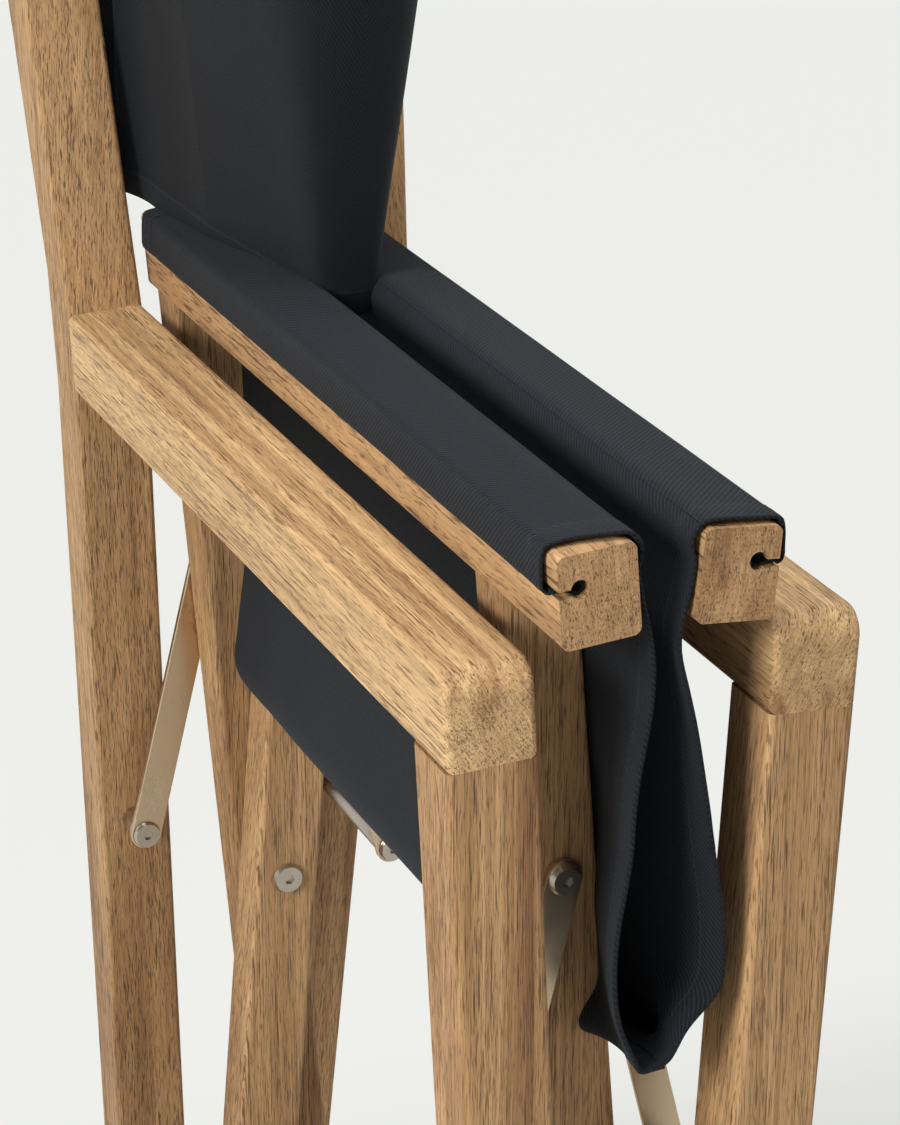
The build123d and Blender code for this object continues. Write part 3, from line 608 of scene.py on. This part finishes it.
def wood(name, along, seed, painted_light_scale=1.0, slope=0.2, painted_light_tint=0.0):
    """brushed open-grained hardwood: grain runs along Z or Y of the row frame"""
    m, nt, bsdf = tree(name)
    n = N(nt)
    co = n.new("ShaderNodeTexCoord").outputs["Object"]
    # turns the grain's way to local Z, and moves every piece to its own part of the board
    rot = (math.pi / 2, 0, 0) if along == "Y" else (0, 0, 0)
    base = n.mapping(co, rot=rot, shift=(seed * 1.37, seed * 0.83, seed * 2.11))
    warp = n.new("ShaderNodeVectorMath", operation="MULTIPLY_ADD")
    wob = n.new("ShaderNodeTexNoise")
    n.put(wob.inputs["Vector"], n.mapping(base, scale=(14, 14, 2.2)))
    wob.inputs["Scale"].default_value = 1.0
    wob.inputs["Detail"].default_value = 2.0
    n.put(warp.inputs[0], wob.outputs["Color"])
    warp.inputs[1].default_value = (0.0045, 0.0045, 0.0)
    n.put(warp.inputs[2], base)
    v = warp.outputs[0]
    # growth layers, wide and soft
    rings = n.noise(n.mapping(v, scale=(95, 34, 1.1)), 1.0, 4.0, 0.6, 0.3)
    board = n.noise(n.mapping(base, scale=(10, 10, 2.5)), 1.0, 2.0, 0.5)
    slant = n.mapping(v, rot=(0, 0, slope))
    fibre = n.math("ADD", n.math("MULTIPLY", n.noise(n.mapping(slant, scale=(1150, 95, 11)), 1.0, 5.0, 0.66), 0.68), n.math("MULTIPLY", n.noise(n.mapping(slant, scale=(120, 1150, 11), shift=(5, 1, 4)), 1.0, 5.0, 0.66), 0.32))
    fine = n.noise(n.mapping(slant, scale=(3000, 900, 42)), 1.0, 3.0, 0.6)
    # open pores: short dark dashes
    p1 = n.noise(n.mapping(slant, scale=(2600, 800, 120), shift=(3, 7, 1)), 1.0, 2.0, 0.5)
    p2 = n.noise(n.mapping(slant, scale=(1700, 600, 48), shift=(9, 2, 5)), 1.0, 2.0, 0.45)
    patch = n.noise(n.mapping(v, scale=(120, 60, 3)), 1.0, 3.0, 0.55)
    gate = n.range(patch, 0.32, 0.68, -0.035, 0.035)
    pore1 = n.range(n.math("ADD", p1, gate), 0.56, 0.66, 0.0, 1.0)
    pore2 = n.range(n.math("ADD", p2, gate), 0.59, 0.68, 0.0, 1.0)
    pores = n.math("MAXIMUM", n.math("MULTIPLY", pore1, 0.75), pore2)
    # the tint lightens and pales the wood: painted light, standing in for the whiter light on the armrests' lit tops
    light_c, mid_c, dark_c = lin(200 + painted_light_tint, 156 + 2 * painted_light_tint, 104 + 2 * painted_light_tint), lin(177 + painted_light_tint, 133 + 2 * painted_light_tint, 84 + 2 * painted_light_tint), lin(140, 98, 56)
    body = n.ramp(n.math("ADD", n.math("MULTIPLY", rings, 0.62), n.math("MULTIPLY", board, 0.38)), [(0.32, dark_c), (0.44, mid_c), (0.58, light_c), (0.74, mid_c)])
    streak = n.ramp(fibre, [(0.36, 0.62), (0.49, 0.95), (0.62, 1.2)])
    body = n.mix(0.9, body, streak, "MULTIPLY")
    streak2 = n.ramp(fine, [(0.25, 0.80), (0.75, 1.15)])
    body = n.mix(0.8, body, streak2, "MULTIPLY")
    body = n.mix(n.math("MULTIPLY", pores, 0.8), body, lin(84, 52, 28))
    # the value scale set here paints light and shade per part: lighter for parts facing the key light, darker for
    # shaded ones
    hsv = n.new("ShaderNodeHueSaturation")
    n.put(hsv.inputs["Color"], body)
    hsv.inputs["Value"].default_value = painted_light_scale
    hsv.inputs["Saturation"].default_value = 0.94
    n.put(bsdf.inputs["Base Color"], hsv.outputs[0])
    n.put(bsdf.inputs["Roughness"], n.range(fibre, 0.4, 0.6, 0.68, 0.54))
    bsdf.inputs["Specular IOR Level"].default_value = 0.32
    height = n.math("SUBTRACT", n.math("MULTIPLY", fibre, 0.7), n.math("MULTIPLY", pores, 0.9))
    height = n.math("ADD", height, n.math("MULTIPLY", fine, 0.3))
    b = n.new("ShaderNodeBump")
    b.inputs["Strength"].default_value = 0.55
    b.inputs["Distance"].default_value = 0.0005
    n.put(b.inputs["Height"], height)
    big = n.new("ShaderNodeBump")
    big.inputs["Strength"].default_value = 0.35
    big.inputs["Distance"].default_value = 0.0006
    n.put(big.inputs["Height"], rings)
    n.put(big.inputs["Normal"], b.outputs[0])
    n.put(bsdf.inputs["Normal"], big.outputs[0])
    return m


def steel(name, dark, pale, seed=0.0, along=False):
    m, nt, bsdf = tree(name)
    n = N(nt)
    co = n.new("ShaderNodeTexCoord").outputs["Object"]
    brush = n.noise(n.mapping(co, scale=(1500, 1500, 60) if along else (900, 900, 900), shift=(seed, seed, 0)), 1.0, 3.0, 0.6)
    smear = n.noise(n.mapping(co, scale=(60, 60, 40)), 1.0, 3.0, 0.6)
    n.put(bsdf.inputs["Base Color"], n.mix(smear, lin(*dark), lin(*pale)))
    bsdf.inputs["Metallic"].default_value = 1.0
    n.put(bsdf.inputs["Roughness"], n.math("ADD", n.range(smear, 0.3, 0.7, 0.20, 0.34), n.math("MULTIPLY", brush, 0.08)))
    bsdf.inputs["Anisotropic"].default_value = 0.25
    b = n.new("ShaderNodeBump")
    b.inputs["Strength"].default_value = 0.25
    b.inputs["Distance"].default_value = 0.00004
    n.put(b.inputs["Height"], brush)
    n.put(bsdf.inputs["Normal"], b.outputs[0])
    return m


def plastic(name, col):
    m, nt, bsdf = tree(name)
    n = N(nt)
    co = n.new("ShaderNodeTexCoord").outputs["Object"]
    grain = n.noise(n.mapping(co, scale=(1400, 1400, 1400)), 1.0, 3.0, 0.6)
    wear = n.noise(n.mapping(co, scale=(90, 90, 90)), 1.0, 4.0, 0.6)
    n.put(bsdf.inputs["Base Color"], n.mix(n.range(wear, 0.45, 0.7, 0, 0.5), lin(*col), lin(*[c + 24 for c in col])))
    n.put(bsdf.inputs["Roughness"], n.range(wear, 0.3, 0.7, 0.48, 0.66))
    b = n.new("ShaderNodeBump")
    b.inputs["Strength"].default_value = 0.3
    b.inputs["Distance"].default_value = 0.00005
    n.put(b.inputs["Height"], grain)
    n.put(bsdf.inputs["Normal"], b.outputs[0])
    return m


def cloth(name, length, painted_shade_scale=1.0):
    """close diagonal weave in very dark blue; UV x runs along the sheet, y across it, in metres"""
    m, nt, bsdf = tree(name)
    n = N(nt)
    uv = n.new("ShaderNodeUVMap")
    uv.uv_map = "cloth"
    sep = n.new("ShaderNodeSeparateXYZ")
    n.put(sep.inputs[0], uv.outputs[0])
    u, v = sep.outputs[0], sep.outputs[1]
    pitch = 0.62e-3  # one thread
    iu, iv = n.math("DIVIDE", u, pitch), n.math("DIVIDE", v, pitch)
    row = n.math("FLOOR", iv)
    col = n.math("FLOOR", iu)
    fu, fv = n.math("FRACT", iu), n.math("FRACT", iv)
    # twill: which thread is on top steps one over each row
    step = n.math("MODULO", n.math("ADD", n.math("ADD", row, col), 4000.0), 4.0)
    on_top = n.math("LESS_THAN", step, 1.5)
    across_u = n.math("SINE", n.math("MULTIPLY", fu, math.pi))
    across_v = n.math("SINE", n.math("MULTIPLY", fv, math.pi))
    warp_h = n.math("MULTIPLY", across_u, n.math("ADD", n.math("MULTIPLY", across_v, 0.25), 0.75))
    weft_h = n.math("MULTIPLY", across_v, n.math("ADD", n.math("MULTIPLY", across_u, 0.25), 0.75))
    mixh = n.new("ShaderNodeMix", data_type="FLOAT")
    n.put(mixh.inputs[0], on_top)
    n.put(mixh.inputs[2], weft_h)
    n.put(mixh.inputs[3], n.math("ADD", n.math("MULTIPLY", warp_h, 0.85), 0.3))
    diag = n.math("ADD", n.math("MULTIPLY", n.math("SINE", n.math("MULTIPLY", n.math("ADD", iu, iv), math.pi / 2)), 0.5), 0.5)
    weave = n.math("MULTIPLY", n.math("ADD", n.math("MULTIPLY", mixh.outputs[0], 0.6), n.math("MULTIPLY", diag, 0.55)), 0.9)
    # stitches, two rows beside each hem
    far = n.math("SUBTRACT", length, v)
    d = n.math("MINIMUM", v, far)
    line = n.math("SUBTRACT", 1.0, n.math("DIVIDE", n.math("ABSOLUTE", n.math("SUBTRACT", d, 0.0096)), 0.00055), clamp=True)
    dash = n.math("FRACT", n.math("DIVIDE", u, 0.0034))
    dash = n.range(n.math("ABSOLUTE", n.math("SUBTRACT", dash, 0.5)), 0.36, 0.44, 1.0, 0.0)
    thread = n.math("MULTIPLY", n.math("POWER", line, 0.6), dash)
    lint = n.noise(n.mapping(uv.outputs[0], scale=(900, 900, 900)), 1.0, 4.0, 0.65)
    cloud = n.noise(n.mapping(uv.outputs[0], scale=(16, 16, 16)), 1.0, 3.0, 0.55)
    # the colour follows the weave's height: the cloth's dark blue, near black in the hollows between threads as painted
    # shade, lightest on the thread tops as painted highlight
    weave_colour_and_shade = [(0.0, lin(2, 3, 4)), (0.5, lin(8, 10, 13)), (0.85, lin(23, 27, 35)), (1.0, lin(37, 43, 53))]
    base = n.ramp(weave, [(p, tuple(x * painted_shade_scale for x in c)) for p, c in weave_colour_and_shade])
    base = n.mix(0.7, base, n.ramp(lint, [(0.2, 0.72), (0.8, 1.3)]), "MULTIPLY")
    base = n.mix(0.6, base, n.ramp(cloud, [(0.25, 0.85), (0.75, 1.12)]), "MULTIPLY")
    base = n.mix(n.math("MULTIPLY", thread, 0.7), base, lin(40, 45, 51))
    n.put(bsdf.inputs["Base Color"], base)
    n.put(bsdf.inputs["Roughness"], n.range(lint, 0.2, 0.8, 0.86, 0.72))
    bsdf.inputs["Specular IOR Level"].default_value = 0.25
    bsdf.inputs["Sheen Weight"].default_value = 0.06
    bsdf.inputs["Sheen Roughness"].default_value = 0.45
    bsdf.inputs["Sheen Tint"].default_value = (0.62, 0.70, 0.80, 1.0)
    b = n.new("ShaderNodeBump")
    b.inputs["Strength"].default_value = 0.75
    b.inputs["Distance"].default_value = 0.0003
    n.put(b.inputs["Height"], n.math("ADD", weave, n.math("MULTIPLY", lint, 0.35)))
    s = n.new("ShaderNodeBump")
    s.inputs["Strength"].default_value = 0.9
    s.inputs["Distance"].default_value = 0.0009
    n.put(s.inputs["Height"], n.math("SUBTRACT", thread, n.math("MULTIPLY", line, 0.9)))
    n.put(s.inputs["Normal"], b.outputs[0])
    n.put(bsdf.inputs["Normal"], s.outputs[0])
    return m


seat_cloth_m = cloth("cloth_seat", SEAT_W * MM)
# the back sheet is the same cloth darkened to 0.6: painted shade, for the upright sheet that the top light reaches less
back_cloth_m = cloth("cloth_back", BACK_H * MM, 0.6)
for o in seat_objs:
    o.data.materials.clear()
    o.data.materials.append(seat_cloth_m)
for o in back_objs:
    o.data.materials.clear()
    o.data.materials.append(back_cloth_m)

steel_m = steel("steel_fixings", (176, 166, 152), (208, 199, 186))
# the links' steel is tinted warm brown: painted reflection of the wood beside them
link_m = steel("steel_links", (196, 174, 144), (228, 207, 178), 3.0, True)
glide_m, rod_m = plastic("glide_plastic", (34, 33, 32)), plastic("rod_plastic", (20, 21, 23))
seed = 0
for name, o in nodes.items():
    seed += 1
    o.data.materials.clear()
    # the value scale per part paints light and shade: armrests and left-hand parts, nearer the key light, lighter;
    # rails, crossed legs, rear posts and right-hand parts darker
    if name.startswith(("armrest", "seat_rail", "bottom_bar")):
        painted_light_scale = (1.1 if name.endswith("left") else 1.05) if name.startswith("armrest") else 0.91
        # the armrests' tint of 6 is painted light on their lit tops
        o.data.materials.append(wood("wood_" + name, "Y", seed, painted_light_scale, (0.55 if name.startswith("armrest") else 0.14) * (1 if seed % 2 else -1), 6 if name.startswith("armrest") else 0))
    elif name.startswith(("front_leg", "rear_post", "x_leg")):
        painted_light_scale = 0.9 if name.startswith("x_leg") else 0.86 if name.startswith("rear_post") else 0.97 if name.endswith("left") else 0.9
        o.data.materials.append(wood("wood_" + name, "Z", seed, painted_light_scale, 0.5 * (1 if seed % 2 else -1)))
    elif "dowels" in name:
        o.data.materials.append(wood("wood_" + name, "Z", seed, 1.05))
    elif name.startswith("glides"):
        o.data.materials.append(glide_m)
    elif "rod" in name:
        o.data.materials.append(rod_m)
    elif name.startswith("link_front") or name.startswith("link_rear"):
        o.data.materials.append(link_m)
    elif name.startswith(("seat_", "back_")):
        o.data.materials.append(seat_cloth_m)
    else:
        o.data.materials.append(steel_m)
    # softened edges on the wood and steel
    if not name.startswith(("seat_band", "seat_panel", "seat_strip", "seat_wrap", "back_")) or name.startswith("back_rod"):
        bev = o.modifiers.new("soft_edges", "BEVEL")
        bev.width = 0.0007 if "leg" in name or "rest" in name or "rail" in name or "post" in name or "bar_" in name else 0.0003
        bev.segments = 2
        bev.limit_method = "ANGLE"
        bev.angle_limit = math.radians(40)
        bev.harden_normals = False
        bev.use_clamp_overlap = True

FLOOR_GLOW, SKY = 0.94, (0.16, 0.165, 0.17)
# ======== stage =============================================================


def stage_material(name, col, rough):
    m, nt, bsdf = tree(name)
    n = N(nt)
    co = n.new("ShaderNodeTexCoord").outputs["Object"]
    soft = n.noise(n.mapping(co, scale=(2, 2, 2)), 1.0, 2.0, 0.5)
    n.put(bsdf.inputs["Base Color"], n.mix(soft, col, tuple(c * 0.99 for c in col)))
    bsdf.inputs["Roughness"].default_value = rough
    bsdf.inputs["Specular IOR Level"].default_value = 0.1
    return m


bpy.ops.mesh.primitive_plane_add(size=40, location=(0, 6, 0))
floor = bpy.context.object
floor.name = "floor"
fm, fnt, fb = tree("stage_floor")
fn = N(fnt)
fco = fn.new("ShaderNodeTexCoord").outputs["Object"]
fsep = fn.new("ShaderNodeSeparateXYZ")
fn.put(fsep.inputs[0], fco)
fb.inputs["Roughness"].default_value = 0.9
fb.inputs["Specular IOR Level"].default_value = 0.1
far = fn.range(fsep.outputs[1], -5.9, -5.35, 0.0, 1.0)
far.node.interpolation_type = "SMOOTHSTEP"
fx, fy = fsep.outputs[0], fn.math("ADD", fsep.outputs[1], 6.0)
reach = fn.math("SQRT", fn.math("ADD", fn.math("MULTIPLY", fx, fx), fn.math("MULTIPLY", fy, fy)))
rim = fn.range(reach, 1.3, 3.2, 0.0, 0.8)
rim.node.interpolation_type = "SMOOTHSTEP"
far = fn.math("MAXIMUM", far, rim)
near_c = fn.mix(fn.noise(fn.mapping(fco, scale=(2, 2, 2)), 1.0, 2.0, 0.5), lin(232, 233, 228), lin(229, 230, 225))
fn.put(fb.inputs["Base Color"], fn.mix(far, near_c, (0.05, 0.05, 0.05)))
fb.inputs["Emission Color"].default_value = (*lin(240, 241, 236), 1.0)
fn.put(fb.inputs["Emission Strength"], fn.math("MULTIPLY", far, FLOOR_GLOW))
floor.data.materials.append(fm)

world = bpy.data.worlds.new("world")
scene.world = world
world.use_nodes = True
wn = N(world.node_tree)
bg = world.node_tree.nodes["Background"]
wsep = wn.new("ShaderNodeSeparateXYZ")
wn.put(wsep.inputs[0], wn.new("ShaderNodeTexCoord").outputs["Generated"])
wn.put(bg.inputs[0], wn.ramp(wsep.outputs[2], [(0.0, lin(240, 241, 236)), (0.12, lin(238, 239, 234)), (0.45, SKY)]))
bg.inputs[1].default_value = 1.0


def area(name, loc_, target, size, power, col=(1, 1, 1), size_y=None):
    d = bpy.data.lights.new(name, "AREA")
    d.energy = power
    d.color = col
    d.shape = "RECTANGLE"
    d.size = size
    d.size_y = size_y or size
    o = bpy.data.objects.new(name, d)
    scene.collection.objects.link(o)
    o.location = loc_
    o.rotation_euler = (Vector(target) - Vector(loc_)).to_track_quat("-Z", "Y").to_euler()
    return o


area("key", (-2.2, -1.1, 1.7), (-0.05, -0.22, 0.55), 0.9, 10.5, (1.0, 0.99, 0.97)).data.spread = math.radians(75)
area("top", (0.0, -0.2, 2.4), (0, 0, 0.7), 1.0, 29)

# ======== camera ============================================================
cam_data = bpy.data.cameras.new("camera")
cam = bpy.data.objects.new("camera", cam_data)
scene.collection.objects.link(cam)
F_PX, AZ, EL, ROLL = 3614.79, -22.5502, 21.7606, 0.0885
pos = Vector((-0.515436, -1.316857, 1.170131))
az, el, ro = map(math.radians, (AZ, EL, ROLL))
back_v3 = Vector((math.sin(az) * math.cos(el), -math.cos(az) * math.cos(el), math.sin(el)))
right_v3 = Vector((math.cos(az), math.sin(az), 0))
up_v3 = back_v3.cross(right_v3)
r2 = right_v3 * math.cos(ro) + up_v3 * math.sin(ro)
u2 = up_v3 * math.cos(ro) - right_v3 * math.sin(ro)
rotm = Matrix((r2, u2, back_v3)).transposed()
cam.matrix_world = Matrix.Translation(pos) @ rotm.to_4x4()
cam_data.sensor_fit = "AUTO"
cam_data.sensor_width = 36
cam_data.lens = F_PX / 1125 * 36
cam_data.clip_start, cam_data.clip_end = 0.05, 100
scene.camera = cam
scene.view_settings.view_transform = "Standard"
